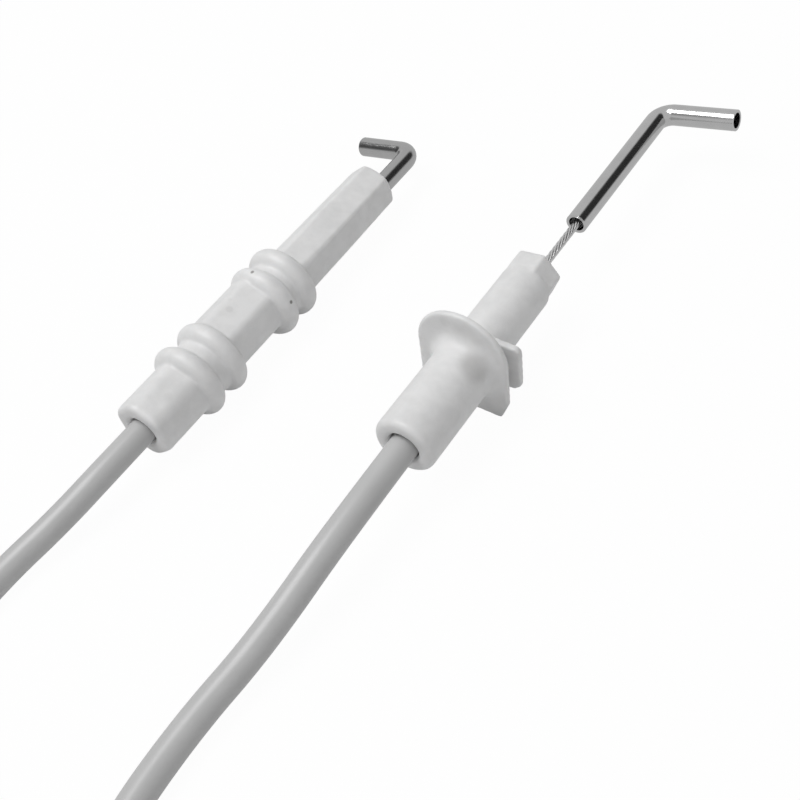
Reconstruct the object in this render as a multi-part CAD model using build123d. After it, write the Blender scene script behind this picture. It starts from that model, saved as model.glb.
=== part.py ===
from build123d import *
import math
import os

# A matched pair of gas-burner electrodes lying side by side on a flat surface.
# The ribbed electrode carries a solid bent rod; the collar electrode carries an open bent tube
# on a bare stranded wire. Both axes run along +Y, from the lead to the tip. Millimetres, +Z up.

# ---- pair and placing ----
axis_spacing = 36.4  # from the ribbed electrode's axis to the collar electrode's, along X
rear_face_step = 9.25  # how far the collar's rear face lies ahead of the ribbed one's, along Y

# ---- leads ----
lead_diameter = 3.7
core_diameter = 1.1
lead_bore_clearance = 0.15  # radial, lead in the ceramic
mouth_radius = 2.5  # countersink where the lead goes in
mouth_depth = 0.45
lead_end_clearance = 1.0  # beyond the end of a blind bore's contents
floor_gap = 0.05  # under every piece of lead that lies on the surface
coil_turn_radius = 20.0
coil_layers = 2
coil_edge_gap = 0.1  # flat left between the round edges of the coil's outer shape
ribbed_entry_angle = 22.0  # degrees from +X round the coil's centre, where the lead joins its coil
ribbed_exit_angle = 180.0  # and where it leaves
collar_entry_angle = 25.0
collar_exit_angle = 260.0

# ---- ribbed insulator ----
ribbed_barrel_length = 9.9  # rear face to the first ring's centre
ribbed_barrel_flats = 8.3
ribbed_barrel_corner = 2.4
rear_pair_pitch = 4.85
middle_length = 12.0  # between the centres of the two inner rings
middle_flats = 8.35
middle_corner = 1.5
middle_offset = (-0.4, 0.35)  # the pressed middle's centre off the axis, across and up
front_pair_pitch = 4.3
ribbed_nose_length = 23.55  # last ring's centre to the nose end
nose_flats = 7.35
nose_taper = 0.6  # degrees a side
nose_corner = 0.7
nose_turned_radius = 4.0  # the facets' corners are turned off near the nose end
nose_turned_round = 0.85
ring_radius = 5.62
ring_round = 1.5  # radius of the half-round rib
groove_radius = 4.35
rear_edge_round = 0.7
ribbed_flats_roll = -3.0  # degrees about the axis

# ---- bent rod and its joint ----
rod_diameter = 3.0
rod_offset = (0.8, -0.5)  # the rod's bore lies off the ceramic's axis, across and up
rod_reach = 9.7  # nose end to the centreline of the short leg
rod_leg = 9.85  # long leg's centreline to the short leg's end
rod_bend_radius = 2.3
rod_leg_tilt = 3.8  # degrees that the short leg hangs below level
rod_end_round = 0.3
rod_bore_clearance = 0.1
sleeve_length = 10.0
sleeve_wall = 0.45
sleeve_core_depth = 4.0
sleeve_clearance = 0.2  # radial, sleeve in the ceramic
ribbed_lead_depth = 9.0  # lead inside the ceramic, from its rear face
ribbed_lead_straight = 6.5  # lead on the axis behind the rear face
cement_depth = 2.4
cement_width = 0.5
cement_recess = 0.3

# ---- collar insulator ----
collar_barrel_length = 14.6
collar_barrel_radius = 4.1
flange_thickness = 0.85
flange_half_width = 6.3
flange_offset = -0.65  # the flange's middle off the axis, across
flange_arch_height = 1.85  # arch centre above the axis
flange_drop = 7.6  # axis to the flange's flat foot
flange_foot_chamfer = (1.1, 2.9)  # across, up
flange_root_round = 1.7
slot_width = 1.6
neck_radius = 3.2
lug_thickness = 0.95
lug_half_width = 6.1
lug_top = 3.1
lug_bottom = -4.25
lug_chamfer = 0.9
lug_round = 0.9  # top corners
collar_nose_length = 15.0  # lug's front face to the nose end
shank_radius = 3.5  # round stretch behind the hexagonal nose
shank_offset = -0.2  # its middle off the axis, across
hexagon_length = 3.2
hexagon_flats = 6.35
hexagon_corner = 0.3
hexagon_offset = (-0.25, 0.2)  # its middle off the axis, across and up
hexagon_edge_round = 0.3
collar_roll = 8.5  # degrees about the axis; the hexagon's top flat stays level
wire_bore_clearance = 0.2
collar_lead_depth = 13.0
collar_lead_straight = 11.0
collar_rear_round = 0.8

# ---- tip tube ----
tube_diameter = 3.0
tube_wall = 0.4
bare_wire_length = 10.4  # nose end to the tube's open end
tube_long_leg = 26.55  # open end to the short leg's centreline
tube_leg = 11.5
tube_bend_radius = 2.2
tube_leg_tilt = 3.8  # degrees that the short leg rises above level
wire_in_tube = 6.0
ferrule_length = 3.0
slide_stop_gap = 0.3  # left between the nose and the tube when the collar is run up to it

# ---- terminals ----
socket_bore_radius = 2.0
socket_wall = 0.45  # thinnest, over the lead or over the pin
socket_length = 8.0
crimp_length = 4.0
web_thickness = 0.8
crimp_clearance = 0.05
clip_width = 1.6
clip_wall = 0.4
clip_groove = 0.2
clip_split = 1.2
clip_setback = 2.6  # socket mouth to the spring ring's front edge
boot_radius = 6.0
boot_length = 19.0
boot_neck_length = 5.0
boot_neck_radius = 4.2
boot_neck_clearance = 0.08
boot_bore_clearance = 0.5
boot_round = 1.0
boot_travel = 8.0
boot_stop_gap = 0.6  # coil to the boot's back when it is slid back
socket_recess = 1.0  # socket mouth behind the boot's front

# ---- worked out from the values above ----
lead_radius = lead_diameter / 2
core_radius = core_diameter / 2
rod_radius = rod_diameter / 2
tube_radius = tube_diameter / 2
tube_bore_radius = tube_radius - tube_wall
lead_bore_radius = lead_radius + lead_bore_clearance
lying_height = lead_radius + floor_gap
coil_outer = coil_turn_radius + lead_radius

ring_one = ribbed_barrel_length
ring_two = ring_one + rear_pair_pitch
ring_three = ring_two + middle_length
ring_four = ring_three + front_pair_pitch
ribbed_nose_end = ring_four + ribbed_nose_length
ribbed_leg_y = ribbed_nose_end + rod_reach
sleeve_radius = rod_radius + sleeve_wall
sleeve_bore_radius = sleeve_radius + sleeve_clearance
sleeve_bore_end = ribbed_lead_depth + sleeve_length + lead_end_clearance
rod_start = ribbed_lead_depth + sleeve_core_depth
cement_radius = rod_radius + cement_width

flange_front = collar_barrel_length + flange_thickness
lug_back = flange_front + slot_width
lug_front = lug_back + lug_thickness
collar_nose_end = lug_front + collar_nose_length
tube_start = collar_nose_end + bare_wire_length
collar_leg_y = tube_start + tube_long_leg
collar_travel = bare_wire_length - slide_stop_gap

crimp_radius = lead_radius + crimp_clearance
contact_radius = max(socket_bore_radius, crimp_radius) + socket_wall
boot_bore_radius = contact_radius + boot_bore_clearance
boot_back_rest = math.sqrt(coil_outer**2 - (coil_turn_radius - boot_radius) ** 2) + boot_stop_gap + boot_travel
boot_front_rest = boot_back_rest + boot_length
socket_mouth = boot_front_rest - socket_recess
web_front = socket_mouth - socket_length
tail_length = web_front - web_thickness
terminal_height = boot_radius + floor_gap

ribbed_height = ring_radius


# ---- shared shapes: each is built about its own axis, +Y, from its rear face at y = 0 ----
def station(y):
    """A sketch plane across the axis: its y runs up."""
    return Plane(origin=(0, y, 0), x_dir=(-1, 0, 0), z_dir=(0, 1, 0))


def rod_between(y0, y1, radius):
    return extrude(station(y0) * Circle(radius), y1 - y0)


def pipe_between(y0, y1, outer, inner):
    return extrude(station(y0) * (Circle(outer) - Circle(inner)), y1 - y0)


def cone_between(y0, y1, r0, r1):
    return loft([station(y0) * Circle(r0), station(y1) * Circle(r1)])


def rounded_hexagon(flats, corner):
    hexagon = RegularPolygon(flats / 2, 6, major_radius=False)
    return fillet(hexagon.vertices(), corner)


def faceted(y0, y1, flats, corner, taper=0.0, offset=(0, 0)):
    across, up = offset
    section = station(y0) * (Rot(0, 0, 30) * rounded_hexagon(flats, corner))
    return Pos(across, 0, up) * extrude(section, y1 - y0, taper=taper)


def ring(y, radius, rib):
    return Pos(0, y, 0) * Rot(90, 0, 0) * Torus(radius - rib, rib)


def edges_at(solid, y, radius_at_least=0.0):
    found = solid.edges().filter_by_position(Axis.Y, y - 0.001, y + 0.001)
    return [e for e in found if e.bounding_box().size.X / 2 > radius_at_least]


def lead_hole(depth):
    """Blind hole for the lead with its countersunk mouth."""
    mouth = cone_between(-0.01, mouth_depth, mouth_radius + 0.01, lead_bore_radius)
    return rod_between(-0.01, depth, lead_bore_radius) + mouth


def bent_bar(y0, y1, leg, side, tilt, bend, radius, bore=0.0):
    """A bar along +Y that turns square into a short leg towards side (-1 or 1) along X."""
    rise = leg * math.sin(math.radians(tilt))
    reach = leg * math.cos(math.radians(tilt))
    points = [(0, y0, 0), (0, y1, 0), (side * reach, y1, rise)]
    path = FilletPolyline(*points, radius=bend)
    section = station(y0) * (Circle(radius) - Circle(bore) if bore else Circle(radius))
    return sweep(section, path=path)


# ---- ribbed electrode ----
def on_rod_axis(solid):
    across, up = rod_offset
    return Pos(across, 0, up) * solid


def ribbed_insulator():
    body = faceted(0, ring_one, ribbed_barrel_flats, ribbed_barrel_corner)
    body = fillet(edges_at(body, 0), rear_edge_round)
    turned = rod_between(ring_four, ribbed_nose_end, nose_turned_radius)
    turned = fillet(edges_at(turned, ribbed_nose_end), nose_turned_round)
    body += faceted(ring_two, ring_three, middle_flats, middle_corner, offset=middle_offset)
    body += faceted(ring_four, ribbed_nose_end, nose_flats, nose_corner, nose_taper) & turned
    body += rod_between(ring_one, ring_two, groove_radius)
    body += rod_between(ring_three, ring_four, groove_radius)
    for y in (ring_one, ring_two, ring_three, ring_four):
        body += ring(y, ring_radius, ring_round)
    body = Rot(0, ribbed_flats_roll, 0) * body
    body -= lead_hole(ribbed_lead_depth)
    bores = rod_between(ribbed_lead_depth, sleeve_bore_end, sleeve_bore_radius)
    bores += rod_between(sleeve_bore_end - 1, ribbed_nose_end + 1, rod_radius + rod_bore_clearance)
    bores += rod_between(ribbed_nose_end - cement_depth, ribbed_nose_end + 1, cement_radius)
    return body - on_rod_axis(bores)


def rod_cement():
    start = ribbed_nose_end - cement_depth
    return on_rod_axis(pipe_between(start, ribbed_nose_end - cement_recess, cement_radius, rod_radius))


def bent_rod():
    bar = bent_bar(rod_start, ribbed_leg_y, rod_leg, -1, -rod_leg_tilt, rod_bend_radius, rod_radius)
    tip = bar.faces().sort_by(Axis.X)[0]
    return on_rod_axis(fillet(tip.edges(), rod_end_round))


def crimp_sleeve():
    """Grips the rod; its hole for the lead's core stays on the lead's own axis."""
    start = ribbed_lead_depth
    sleeve = rod_between(start, start + sleeve_length, sleeve_radius)
    sleeve -= rod_between(rod_start, start + sleeve_length + 1, rod_radius)
    return on_rod_axis(sleeve) - rod_between(start - 1, rod_start, core_radius)


def ribbed_core():
    return rod_between(ribbed_lead_depth, rod_start, core_radius)


# ---- collar electrode ----
def flange_outline():
    arch = Pos(0, flange_arch_height) * Circle(flange_half_width)
    across, up = flange_foot_chamfer
    side, foot = flange_half_width, -flange_drop
    skirt = Polyline(
        (-side, flange_arch_height),
        (-side, foot + up),
        (-side + across, foot),
        (side - across, foot),
        (side, foot + up),
        (side, flange_arch_height),
        close=True,
    )
    return Pos(-flange_offset, 0) * (arch + make_face(skirt))


def lug_outline():
    middle = (lug_top + lug_bottom) / 2
    plate = Pos(0, middle) * Rectangle(2 * lug_half_width, lug_top - lug_bottom)
    plate = fillet(plate.vertices().group_by(Axis.Y)[-1], lug_round)
    return chamfer(plate.vertices().group_by(Axis.Y)[0], lug_chamfer)


def collar_insulator():
    body = rod_between(0, collar_barrel_length, collar_barrel_radius)
    body = fillet(edges_at(body, 0), collar_rear_round)
    body += extrude(station(collar_barrel_length) * flange_outline(), flange_thickness)
    root = [e for e in edges_at(body, collar_barrel_length)
            if abs(e.bounding_box().size.X / 2 - collar_barrel_radius) < 0.01]
    body = fillet(root, flange_root_round)
    body += rod_between(flange_front, lug_back, neck_radius)
    body += extrude(station(lug_back) * lug_outline(), lug_thickness)
    body += Pos(shank_offset, 0, 0) * rod_between(lug_front, collar_nose_end - hexagon_length, shank_radius)
    body = Rot(0, collar_roll, 0) * body
    across, up = hexagon_offset
    hexagon = faceted(collar_nose_end - hexagon_length, collar_nose_end, hexagon_flats, hexagon_corner)
    hexagon = fillet(edges_at(hexagon, collar_nose_end), hexagon_edge_round)
    body += Pos(across, 0, up) * Rot(0, 30, 0) * hexagon
    body -= lead_hole(collar_lead_depth + lead_end_clearance)
    body -= rod_between(collar_lead_depth, collar_nose_end + 1, core_radius + wire_bore_clearance)
    return body


def core_wire():
    return rod_between(collar_lead_depth, tube_start + wire_in_tube, core_radius)


def tip_tube():
    return bent_bar(
        tube_start, collar_leg_y, tube_leg, 1, tube_leg_tilt, tube_bend_radius, tube_radius, tube_bore_radius
    )


def wire_ferrule():
    end = tube_start + wire_in_tube
    return pipe_between(end - ferrule_length, end, tube_bore_radius, core_radius)


# ---- terminals: built along +Y from the point where the lead leaves its coil ----
def lead_tail():
    return rod_between(0, tail_length, lead_radius)


def terminal_socket():
    back = tail_length - crimp_length
    socket = rod_between(back, socket_mouth, contact_radius)
    socket -= rod_between(back - 1, tail_length, crimp_radius)
    socket -= rod_between(web_front, socket_mouth + 1, socket_bore_radius)
    groove_front = socket_mouth - clip_setback
    groove = pipe_between(groove_front - clip_width, groove_front, contact_radius + 1, contact_radius - clip_groove)
    return socket - groove


def spring_clip():
    """Split spring ring that grips round the socket."""
    front = socket_mouth - clip_setback
    inner = contact_radius - clip_groove
    clip = pipe_between(front - clip_width, front, inner + clip_wall, inner)
    gap = Pos(0, front - clip_width / 2, inner) * Box(clip_split, clip_width + 1, inner)
    return clip - gap


def boot():
    back, front = boot_back_rest, boot_front_rest
    shell = rod_between(back, front, boot_neck_radius)
    shell += rod_between(back + boot_neck_length, front, boot_radius)
    shoulder = edges_at(shell, back + boot_neck_length, boot_neck_radius + 0.1)
    shell = fillet(shoulder + edges_at(shell, front) + edges_at(shell, back), boot_round)
    shell -= rod_between(back - 1, front, lead_radius + boot_neck_clearance)
    shell -= rod_between(back + boot_neck_length, front + 1, boot_bore_radius)
    return shell


def coil():
    """Outer shape of the turns, standing on the surface about the coil's centre."""
    height = 2 * lead_radius * coil_layers
    section = Plane.XZ * Pos(coil_turn_radius, floor_gap + height / 2) * RectangleRounded(
        lead_diameter, height, lead_radius - coil_edge_gap
    )
    return revolve(section, Axis.Z)


def lead_along(points):
    """Round lead along straight runs joined by arcs as large as the runs allow."""
    vectors = [Vector(*p) for p in points]
    runs = [b - a for a, b in zip(vectors, vectors[1:])]
    radii = []
    for before, after in zip(runs, runs[1:]):
        half_turn = math.radians(before.get_angle(after)) / 2
        radii.append(0.45 * min(before.length, after.length) / math.tan(half_turn))
    path = FilletPolyline(*vectors, radius=radii)
    start = Plane(origin=vectors[0], z_dir=runs[0])
    tube = sweep(start * Circle(lead_radius), path=path)
    print("radii", [round(r, 1) for r in radii], "length", round(path.length, 1))
    print("volume over section x length", round(tube.volume / (math.pi * lead_radius**2 * path.length), 4))
    return tube


# ---- placing ----
collar_body = collar_insulator()
collar_height = -collar_body.bounding_box().min.Z
ribbed_place = Pos(0, 0, ribbed_height)
collar_place = Pos(axis_spacing, rear_face_step, collar_height)

# Each lead: points relative to the middle of its rear mouth, laid by hand; z is the height above
# a lead that lies flat. The last point is where the coil takes over.
ribbed_exit = Vector(0, 0, ribbed_height)
collar_exit = Vector(axis_spacing, rear_face_step, collar_height)
ribbed_lay = [
    (-2.4, -15.2, 1.35),
    (-4.5, -23.7, 0.15),
    (-4.3, -32.0, 0),
    (-1.4, -40.2, 0),
]
collar_lay = [
    (-1.6, -27.0, 1.45),
    (-3.2, -38.5, 0.2),
    (-3.1, -51.0, 0),
    (-0.3, -62.2, 0),
    (4.5, -72.5, 0),
]


def route(start, depth, straight, lay):
    points = [(start.X, start.Y + depth, start.Z), (start.X, start.Y - straight, start.Z)]
    return points + [(start.X + x, start.Y + y, lying_height + z) for x, y, z in lay]


ribbed_route = route(ribbed_exit, ribbed_lead_depth, ribbed_lead_straight, ribbed_lay)
collar_route = route(collar_exit, collar_lead_depth, collar_lead_straight, collar_lay)


def on_coil(angle):
    """From the coil's centre to its turns, at an angle from +X."""
    turned = math.radians(angle)
    return Vector(math.cos(turned), math.sin(turned)) * coil_turn_radius


def tail_place(centre, exit_angle):
    """Where the lead leaves its clockwise coil: a frame whose +Y runs along the tail."""
    leave = centre + on_coil(exit_angle)
    return Pos(leave.X, leave.Y, terminal_height) * Rot(0, 0, exit_angle + 180)


ribbed_coil = Vector(*ribbed_route[-1][:2]) - on_coil(ribbed_entry_angle)
collar_coil = Vector(*collar_route[-1][:2]) - on_coil(collar_entry_angle)
ribbed_tail = tail_place(ribbed_coil, ribbed_exit_angle)
collar_tail = tail_place(collar_coil, collar_exit_angle)

rigid = {
    "ribbed_insulator": ribbed_place * ribbed_insulator(),
    "bent_rod": ribbed_place * bent_rod(),
    "rod_cement": ribbed_place * rod_cement(),
    "rod_crimp_sleeve": ribbed_place * crimp_sleeve(),
    "ribbed_core_end": ribbed_place * ribbed_core(),
    "collar_insulator": collar_place * collar_body,
    "collar_core_wire": collar_place * core_wire(),
    "tip_tube": collar_place * tip_tube(),
    "wire_ferrule": collar_place * wire_ferrule(),
}
cords = {
    "ribbed_lead": lead_along(ribbed_route),
    "collar_lead": lead_along(collar_route),
}
for name, centre, tail in (("ribbed", ribbed_coil, ribbed_tail), ("collar", collar_coil, collar_tail)):
    cords[name + "_lead_coil"] = Pos(centre.X, centre.Y, 0) * coil()
    cords[name + "_lead_tail"] = tail * lead_tail()
    cords[name + "_terminal_socket"] = tail * terminal_socket()
    cords[name + "_terminal_clip"] = tail * spring_clip()
    cords[name + "_terminal_boot"] = tail * boot()

# The origin is under the middle of the two electrodes, on the surface.
boxes = [solid.bounding_box() for solid in rigid.values()]
low = Vector(*(min(getattr(b.min, axis) for b in boxes) for axis in "XYZ"))
high = Vector(*(max(getattr(b.max, axis) for b in boxes) for axis in "XYZ"))
origin = Pos(-(low.X + high.X) / 2, -(low.Y + high.Y) / 2, -low.Z)

os.makedirs("parts", exist_ok=True)
for name, solid in {**rigid, **cords}.items():
    export_step(origin * solid, os.path.join("parts", name + ".step"))
print("moved by", [round(v, 4) for v in origin.position])
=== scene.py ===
import math

import bpy
from mathutils import Matrix, Vector


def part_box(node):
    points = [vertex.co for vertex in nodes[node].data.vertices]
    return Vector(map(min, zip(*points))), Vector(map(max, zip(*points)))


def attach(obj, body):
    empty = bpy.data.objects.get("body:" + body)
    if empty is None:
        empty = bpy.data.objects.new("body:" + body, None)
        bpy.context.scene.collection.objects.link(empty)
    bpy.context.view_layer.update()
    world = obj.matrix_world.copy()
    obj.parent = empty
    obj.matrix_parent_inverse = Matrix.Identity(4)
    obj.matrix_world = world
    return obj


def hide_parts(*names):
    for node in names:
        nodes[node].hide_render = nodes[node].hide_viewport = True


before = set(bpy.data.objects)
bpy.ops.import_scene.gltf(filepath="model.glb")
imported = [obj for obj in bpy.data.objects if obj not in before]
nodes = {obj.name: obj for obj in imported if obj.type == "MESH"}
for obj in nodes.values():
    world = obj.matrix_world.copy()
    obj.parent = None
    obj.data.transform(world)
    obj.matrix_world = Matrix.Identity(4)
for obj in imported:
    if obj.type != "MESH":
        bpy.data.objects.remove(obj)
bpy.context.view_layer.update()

MM = 0.001

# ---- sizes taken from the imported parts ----
LEAD_DIAMETER = 3.7 * MM
LYING_HEIGHT = 1.9 * MM  # of the middle of a lead that lies flat
COIL_RADIUS = 20.0 * MM  # to the middle of the turns
LAYER_RISE = 3.7 * MM


def low(node):
    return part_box(node)[0]


def high(node):
    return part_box(node)[1]


def middle(node):
    return (low(node) + high(node)) / 2


def mouth(side):
    """Middle of the ceramic's rear mouth: on the axis, at its rear face."""
    axis = middle("ribbed_core_end" if side == "ribbed" else "wire_ferrule")
    return Vector((axis.x, low(side + "_insulator").y, axis.z))


# ---- objects ----
def link(obj):
    bpy.context.scene.collection.objects.link(obj)
    return obj


def worked_out(piece):
    """The piece's shape as a smooth shaded mesh, with its modifiers or its thickness worked out."""
    graph = bpy.context.evaluated_depsgraph_get()
    mesh = bpy.data.meshes.new_from_object(piece.evaluated_get(graph))
    mesh.shade_smooth()
    return mesh


# ---- shader nodes ----
def feed(node, inputs):
    """Gives each input a value, or links it from another node's output."""
    for socket, value in dict(inputs).items():
        if isinstance(value, bpy.types.NodeSocket):
            node.id_data.links.new(value, node.inputs[socket])
        else:
            node.inputs[socket].default_value = value


def add(tree, kind, inputs=(), **settings):
    node = tree.nodes.new("ShaderNode" + kind)
    for name, value in settings.items():
        setattr(node, name, value)
    feed(node, inputs)
    return node


def calc(tree, operation, first, second):
    return add(tree, "Math", {0: first, 1: second}, operation=operation).outputs[0]


def blend(tree, factor, first, second, kind="FLOAT"):
    """The first at factor 0, the second at factor 1."""
    inputs = {"Factor": factor, "A": first, "B": second}
    return add(tree, "Mix", inputs, data_type=kind).outputs["Result"]


def fade(tree, value, start, end):
    """0 where the value is the start, smoothly to 1 where it is the end."""
    inputs = {"Value": value, "From Min": start, "From Max": end}
    return add(tree, "MapRange", inputs, interpolation_type="SMOOTHSTEP").outputs["Result"]


def noise(tree, scale, detail):
    place = add(tree, "TexCoord").outputs["Object"]
    inputs = {"Vector": place, "Scale": scale, "Detail": detail, "Roughness": 0.55}
    return add(tree, "TexNoise", inputs).outputs["Fac"]


def ramp(tree, value, *stops):
    """The value as a grey or a colour, between two stops: (value, grey or colour)."""
    node = add(tree, "ValToRGB", {"Fac": value})
    for element, (position, colour) in zip(node.color_ramp.elements, stops):
        element.position = position
        rgb = (colour,) * 3 if isinstance(colour, float) else colour
        element.color = (*rgb, 1.0)
    return node.outputs["Color"]


GRAIN_HEIGHT = 0.04 * MM


def bump(tree, height, strength):
    inputs = {"Height": height, "Strength": strength, "Distance": GRAIN_HEIGHT}
    return add(tree, "Bump", inputs).outputs["Normal"]


def spot(tree, place, radius):
    """1 at a place on the surface, falling to 0 at the radius."""
    here = add(tree, "TexCoord").outputs["Object"]
    apart = add(tree, "VectorMath", {0: here, 1: place}, operation="DISTANCE")
    return fade(tree, apart.outputs["Value"], radius, radius * 0.4)


# ---- materials ----
# Colour of the specks in the glaze and of the painted shade at the collar's flange root.
SPECK_AND_SHADE_COLOUR = (0.12, 0.11, 0.1, 1)
STREAK = 0.03  # how much rougher worn metal is
WEAR = 0.93  # and how much darker


def new_material(name):
    material = bpy.data.materials.new(name)
    material.use_nodes = True
    return material, material.node_tree, material.node_tree.nodes["Principled BSDF"]


def ceramic(name, tone, glaze_specks_and_painted_shade):
    """Glazed off-white body with faint clouding, darkened at spots of specks and of painted shade,
    each (place, radius, how dark).
    """
    material, tree, shader = new_material(name)
    both = calc(tree, "ADD", noise(tree, 620.0, 4.0), noise(tree, 90.0, 2.0))
    half = calc(tree, "MULTIPLY", both, 0.5)
    colour = ramp(tree, half, (0.36, tone * 0.9), (0.6, tone))
    # Darken the glaze at each spot: specks, and painted shade at the collar's flange root.
    for place, radius, dark in glaze_specks_and_painted_shade:
        shade = calc(tree, "MULTIPLY", spot(tree, place, radius), dark)
        colour = blend(tree, shade, colour, SPECK_AND_SHADE_COLOUR, kind="RGBA")
    grain = noise(tree, 900.0, 3.0)
    feed(shader, {
        "Base Color": colour,
        "Roughness": ramp(tree, grain, (0.3, 0.33), (0.7, 0.45)),
        "Normal": bump(tree, grain, 0.2),
        "Subsurface Weight": 0.1,
        "Subsurface Radius": (0.6, 0.55, 0.5),
        "Subsurface Scale": 1.0 * MM,
    })
    return material


def metal(name, tone, rough, tint=(1.0, 1.0, 1.0)):
    material, tree, shader = new_material(name)
    cloud = noise(tree, 500.0, 4.0)
    light = tuple(tone * part for part in tint)
    worn = tuple(WEAR * part for part in light)
    feed(shader, {
        "Metallic": 1.0,
        "Base Color": ramp(tree, cloud, (0.3, worn), (0.7, light)),
        "Roughness": ramp(tree, cloud, (0.35, rough), (0.75, rough + STREAK)),
    })
    return material


def dull(name, tone, rough):
    """Silicone or cement: even, with a fine grain."""
    material, tree, shader = new_material(name)
    cloud = noise(tree, 220.0, 3.0)
    feed(shader, {
        "Base Color": ramp(tree, cloud, (0.3, tone * 0.96), (0.7, tone)),
        "Normal": bump(tree, noise(tree, 1500.0, 2.0), 0.15),
        "Roughness": rough,
    })
    return material


# Specks and smudges on the ribbed glaze, and painted shade at the collar's flange root: from the
# middle of the rear mouth, radius (both in millimetres), how dark.
SPECKS_AND_PAINTED_SHADE = {
    "ribbed": [
        ((0.1, 26.6, 5.6), 0.36, 0.75),
        ((5.4, 26.8, 1.4), 0.36, 0.8),
        ((0.7, 20.1, 4.4), 0.7, 0.12),
        ((-0.3, 21.4, 4.5), 0.6, 0.1),
        ((2.6, 4.3, 3.3), 0.9, 0.06),
    ],
    "collar": [
        # Painted shade at the flange root: the barrel's shadow on its right side, and darker
        # patches along its top.
        ((3.1, 12.5, 2.7), 2.6, 0.26),
        ((1.2, 14.4, 5.2), 2.6, 0.1),
        ((-1.5, 14.6, 6.8), 1.0, 0.07),
    ],
}


# Spots in place on the body: specks on the ribbed glaze, painted shade on the collar's.
def glaze_specks_and_painted_shade(side):
    start = mouth(side)
    return [(start + Vector(place) * MM, radius * MM, dark) for place, radius, dark in SPECKS_AND_PAINTED_SHADE[side]]


MATERIALS = {
    "ribbed_ceramic": ceramic("ribbed_glaze", 0.8, glaze_specks_and_painted_shade("ribbed")),
    "collar_ceramic": ceramic("collar_glaze", 0.8, glaze_specks_and_painted_shade("collar")),
    "cement": dull("cement_grit", 0.55, 0.9),
    "rod": metal("drawn_nickel", 0.55, 0.2),
    "tube": metal("bright_plate", 0.66, 0.15),
    "strand": metal("steel_strand", 0.78, 0.28),
    "copper": metal("copper_strand", 0.8, 0.3, tint=(1.0, 0.6, 0.4)),
    "silicone": dull("grey_silicone", 0.52, 0.34),
    "boot": dull("dark_silicone", 0.05, 0.5),
    "brass": metal("brass_socket", 0.78, 0.25, tint=(1.0, 0.78, 0.42)),
}


def dress(mesh, key):
    mesh.materials.clear()
    mesh.materials.append(MATERIALS[key])


for node, key in {
    "rod_cement": "cement",
    "bent_rod": "rod",
    "rod_crimp_sleeve": "rod",
    "ribbed_core_end": "copper",
    "tip_tube": "tube",
    "collar_core_wire": "strand",
    "wire_ferrule": "rod",
}.items():
    dress(nodes[node].data, key)
for side in ("ribbed", "collar"):
    dress(nodes[side + "_terminal_socket"].data, "brass")
    dress(nodes[side + "_terminal_clip"].data, "rod")
    dress(nodes[side + "_terminal_boot"].data, "boot")


# ---- soft-edged glazed bodies ----
WELD_DISTANCE = 0.001 * MM
GLAZE_VOXEL = 0.2 * MM
GLAZE_ROUNDS = 7  # of smoothing


def glazed(side):
    """The pressed body with the corners that glaze and firing leave: never sharp."""
    node = side + "_insulator"
    piece = link(bpy.data.objects.new(side + "_glazed_body", nodes[node].data.copy()))
    weld = piece.modifiers.new("weld", "WELD")
    weld.merge_threshold = WELD_DISTANCE
    remesh = piece.modifiers.new("remesh", "REMESH")
    remesh.mode = "VOXEL"
    remesh.voxel_size = GLAZE_VOXEL
    smooth = piece.modifiers.new("smooth", "SMOOTH")
    smooth.factor = 0.5
    smooth.iterations = GLAZE_ROUNDS
    mesh = worked_out(piece)
    piece.modifiers.clear()
    piece.data = mesh
    dress(mesh, side + "_ceramic")
    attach(piece, {"ribbed": "ribbed_electrode", "collar": "collar_ceramic"}[side])
    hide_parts(node)


for side in ("ribbed", "collar"):
    glazed(side)


# ---- twisted wire between the collar's nose and the tube ----
STRANDS = 7
STRAND_RADIUS = 0.166 * MM
WIRE_PITCH = 7.0 * MM
WIRE_STEPS = 14  # points a pitch


def twisted_wire():
    """Strands laid round a straight heart, as one mesh."""
    start, end = low("collar_core_wire").y, high("collar_core_wire").y
    axis = middle("wire_ferrule")
    ring = (high("collar_core_wire").x - low("collar_core_wire").x) / 2 - STRAND_RADIUS
    count = round((end - start) / WIRE_PITCH * WIRE_STEPS)
    curve = bpy.data.curves.new("strands_curve", "CURVE")
    curve.dimensions = "3D"

    def run(radius, thickness, phase):
        """One strand, its thickness in strand radii."""
        spline = curve.splines.new("POLY")
        spline.points.add(count)
        for i, point in enumerate(spline.points):
            y = start + (end - start) * i / count
            turn = phase + math.tau * (y - start) / WIRE_PITCH
            across, up = radius * math.cos(turn), radius * math.sin(turn)
            point.co = (axis.x + across, y, axis.z + up, 1.0)
            point.radius = thickness

    for strand in range(STRANDS):
        run(ring, 1.0, math.tau * strand / STRANDS)
    run(0.0, ring / STRAND_RADIUS - 0.5, 0.0)  # the heart, with the strands bedded into it
    curve.bevel_depth = STRAND_RADIUS
    curve.bevel_resolution = 3
    curve.use_fill_caps = True
    curve.materials.append(MATERIALS["strand"])
    line = link(bpy.data.objects.new("strands_line", curve))
    mesh = worked_out(line)
    bpy.data.objects.remove(line)
    piece = link(bpy.data.objects.new("collar_twisted_strands", mesh))
    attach(piece, "collar_electrode")
    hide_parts("collar_core_wire")


twisted_wire()


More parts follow.
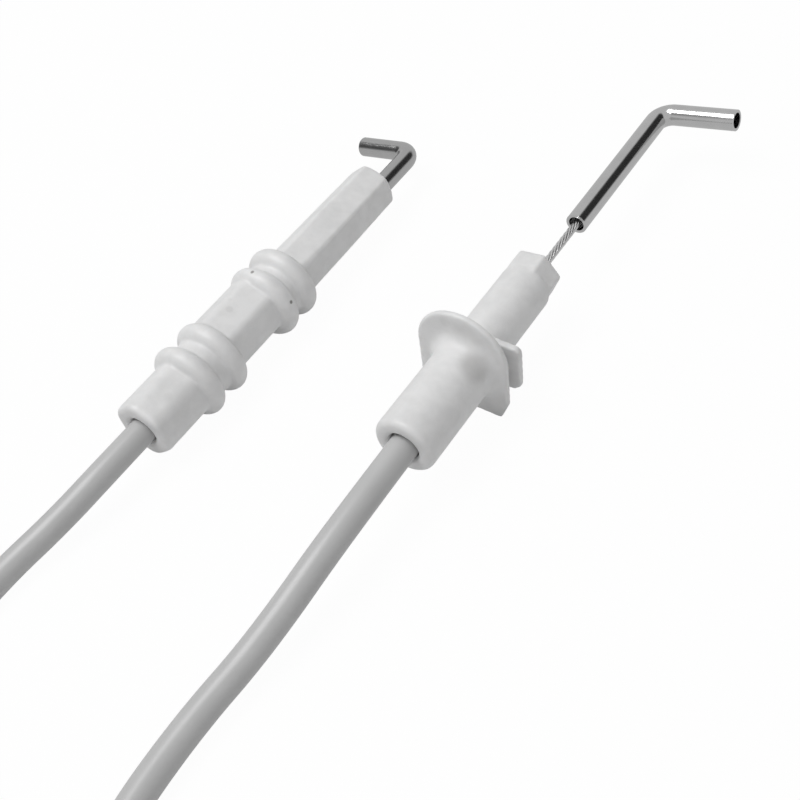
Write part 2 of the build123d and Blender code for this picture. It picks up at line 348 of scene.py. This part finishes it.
# ---- leads ----
# Points of the lay are in millimetres from the middle of the rear mouth; z is the height above a
# lead that lies flat. Before them come two on the axis: inside the ceramic, and straight out of it.
# The collar's first three lie up to 1 mm further out than the CAD's, where the real lead lies.
LAYS = {
    "ribbed": {
        "inside": 9.0,
        "straight": 6.5,
        "lay": [(-2.4, -15.2, 1.35), (-4.5, -23.7, 0.15), (-4.3, -32.0, 0), (-1.4, -40.2, 0)],
        "entry_angle": 22.0,
        "exit_angle": 180.0,
        "body": "ribbed_electrode",
    },
    "collar": {
        "inside": 13.0,
        "straight": 11.0,
        "lay": [
            (-2.4, -27.0, 1.45),
            (-4.2, -38.5, 0.2),
            (-3.7, -51.0, 0),
            (-0.3, -62.2, 0),
            (4.5, -72.5, 0),
        ],
        "entry_angle": 25.0,
        "exit_angle": 260.0,
        "body": "collar_electrode",
    },
}
POINTS_A_TURN = 24
RISE_START, RISE_END = 250.0, 335.0  # degrees into the coil, where it climbs onto its first turn


def on_coil(angle):
    """From the coil's centre to its turns, at an angle from +X."""
    turned = math.radians(angle)
    return Vector((math.cos(turned), math.sin(turned), 0)) * COIL_RADIUS


def coil_turns(centre, entry_angle, exit_angle):
    """Clockwise from entry_angle to exit_angle, climbing once onto a second layer on the way."""
    total = 360.0 + (entry_angle - exit_angle) % 360.0
    count = round(total / 360.0 * POINTS_A_TURN)
    step = total / count
    outward = 1 / math.cos(math.radians(step / 2))  # the spline cuts inside its points
    points = []
    for i in range(count):
        angle = step * (i + 0.5)
        part = min(1.0, max(0.0, (angle - RISE_START) / (RISE_END - RISE_START)))
        rise = LAYER_RISE * part * part * (3 - 2 * part)
        place = centre + on_coil(entry_angle - angle) * outward
        points.append(place + Vector((0, 0, LYING_HEIGHT + rise)))
    return points


def lead_points(side):
    lay = LAYS[side]
    start = mouth(side)
    inside = Vector((0, lay["inside"] * MM, 0))
    straight = Vector((0, lay["straight"] * MM, 0))
    points = [start + inside, start - straight]
    for x, y, z in lay["lay"]:
        points.append(Vector((start.x + x * MM, start.y + y * MM, LYING_HEIGHT + z * MM)))
    centre = Vector((*points[-1].xy, 0)) - on_coil(lay["entry_angle"])
    points += coil_turns(centre, lay["entry_angle"], lay["exit_angle"])
    leave = centre + on_coil(lay["exit_angle"])
    leave.z = LYING_HEIGHT + LAYER_RISE
    # The tail's box lies evenly about its line, so the line's far end mirrors the leaving point.
    return points + [leave, 2 * middle(side + "_lead_tail") - leave]


def lead(side):
    points = lead_points(side)
    curve = bpy.data.curves.new(side + "_lead_curve", "CURVE")
    curve.dimensions = "3D"
    spline = curve.splines.new("NURBS")
    spline.points.add(len(points) - 1)
    for point, place in zip(spline.points, points):
        point.co = (*place, 1.0)
    spline.order_u = 3
    spline.use_endpoint_u = True
    spline.resolution_u = 12
    curve.bevel_depth = LEAD_DIAMETER / 2
    curve.bevel_resolution = 10
    curve.use_fill_caps = True
    curve.materials.append(MATERIALS["silicone"])
    piece = link(bpy.data.objects.new(side + "_silicone_lead", curve))
    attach(piece, LAYS[side]["body"])
    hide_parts(side + "_lead", side + "_lead_coil", side + "_lead_tail")


for side in LAYS:
    lead(side)


# ---- floor and light ----
FLOOR_HALF = 1.2
FLOOR_COLOUR = (0.8, 0.8, 0.8, 1)
FLOOR_GLOW = 0.97  # how much of the floor's look is its own glow; the rest keeps the shadow
FLOOR_MIRRORED = 0.6  # the glow's strength in reflections; the camera sees 1, white
KEY_PLACE = Vector((-0.18, -0.16, 0.64))
KEY_SIZE = 0.42
KEY_WATTS = 3.1
ROOM = 0.37  # strength of the world where it lights the object
ROOM_MIRRORED = 0.62  # and where a glossy surface reflects it
# Dark places in the reflected room: towards, radius in degrees, strength.
DARK_PATCHES = [((0.56, 0.656, 0.505), 27, 0.03), ((-0.8, -0.35, 0.49), 28, 0.06)]
PATCH_EDGE = 7  # degrees


def floor():
    corners = [(-1, -1, 0), (1, -1, 0), (1, 1, 0), (-1, 1, 0)]
    mesh = bpy.data.meshes.new("floor_mesh")
    mesh.from_pydata([Vector(corner) * FLOOR_HALF for corner in corners], [], [(0, 1, 2, 3)])
    obj = link(bpy.data.objects.new("floor", mesh))
    material = bpy.data.materials.new("floor_white")
    material.use_nodes = True
    tree = material.node_tree
    tree.nodes.clear()
    rays = add(tree, "LightPath").outputs
    glossy = rays["Is Glossy Ray"]
    strength = blend(tree, glossy, 1.0, FLOOR_MIRRORED)
    share = calc(tree, "MULTIPLY", calc(tree, "MAXIMUM", rays["Is Camera Ray"], glossy), FLOOR_GLOW)
    matt = add(tree, "BsdfDiffuse", {"Color": FLOOR_COLOUR})
    glow = add(tree, "Emission", {"Strength": strength})
    mix = add(tree, "MixShader", {"Fac": share, 1: matt.outputs[0], 2: glow.outputs[0]})
    add(tree, "OutputMaterial", {"Surface": mix.outputs[0]})
    mesh.materials.append(material)


floor()


def key_light():
    data = bpy.data.lights.new("key", "AREA")
    data.shape = "RECTANGLE"
    data.size = data.size_y = KEY_SIZE
    data.energy = KEY_WATTS
    obj = link(bpy.data.objects.new("key", data))
    obj.location = KEY_PLACE
    obj.rotation_mode = "QUATERNION"
    obj.rotation_quaternion = (-KEY_PLACE).to_track_quat("-Z", "Y")


key_light()


def patch(tree, towards, radius):
    """1 within an angle of a direction, 0 beyond."""
    direction = add(tree, "TexCoord").outputs["Generated"]
    inputs = {0: direction, 1: Vector(towards).normalized()}
    dot = add(tree, "VectorMath", inputs, operation="DOT_PRODUCT").outputs["Value"]
    outer, inner = math.radians(radius + PATCH_EDGE), math.radians(radius - PATCH_EDGE)
    return fade(tree, dot, math.cos(outer), math.cos(inner))


def studio():
    """Even grey room; reflections have a dark corner and a dark side, and the camera sees white."""
    world = bpy.data.worlds.new("studio")
    bpy.context.scene.world = world
    world.use_nodes = True
    tree = world.node_tree
    tree.nodes.clear()
    mirrored = ROOM_MIRRORED
    for towards, radius, dark in DARK_PATCHES:
        mirrored = blend(tree, patch(tree, towards, radius), mirrored, dark)
    rays = add(tree, "LightPath").outputs
    strength = blend(tree, rays["Is Glossy Ray"], ROOM, mirrored)
    strength = blend(tree, rays["Is Camera Ray"], strength, 1.0)
    background = add(tree, "Background", {"Strength": strength, "Color": (1, 1, 1, 1)})
    add(tree, "OutputWorld", {"Surface": background.outputs[0]})


studio()

# ---- camera ----
CAMERA_PLACE = Vector((89.08, -97.38, 109.1)) * MM
CAMERA_AZIMUTH = 46.53
CAMERA_ELEVATION = 43.64
CAMERA_ROLL = -18.14
CAMERA_LENS = 54.1
CAMERA_SENSOR = 36.0
CAMERA_NEAR = 5.0 * MM


def camera():
    data = bpy.data.cameras.new("camera")
    data.lens = CAMERA_LENS
    data.sensor_width = CAMERA_SENSOR
    data.clip_start = CAMERA_NEAR
    obj = link(bpy.data.objects.new("camera", data))
    azimuth, elevation = math.radians(CAMERA_AZIMUTH), math.radians(CAMERA_ELEVATION)
    flat = math.cos(elevation)
    forward = Vector((-math.sin(azimuth) * flat, math.cos(azimuth) * flat, -math.sin(elevation)))
    roll = Matrix.Rotation(math.radians(CAMERA_ROLL), 4, "Z").to_quaternion()
    obj.rotation_mode = "QUATERNION"
    obj.rotation_quaternion = forward.to_track_quat("-Z", "Y") @ roll
    obj.location = CAMERA_PLACE
    bpy.context.scene.camera = obj


camera()
bpy.context.scene.view_settings.view_transform = "Standard"
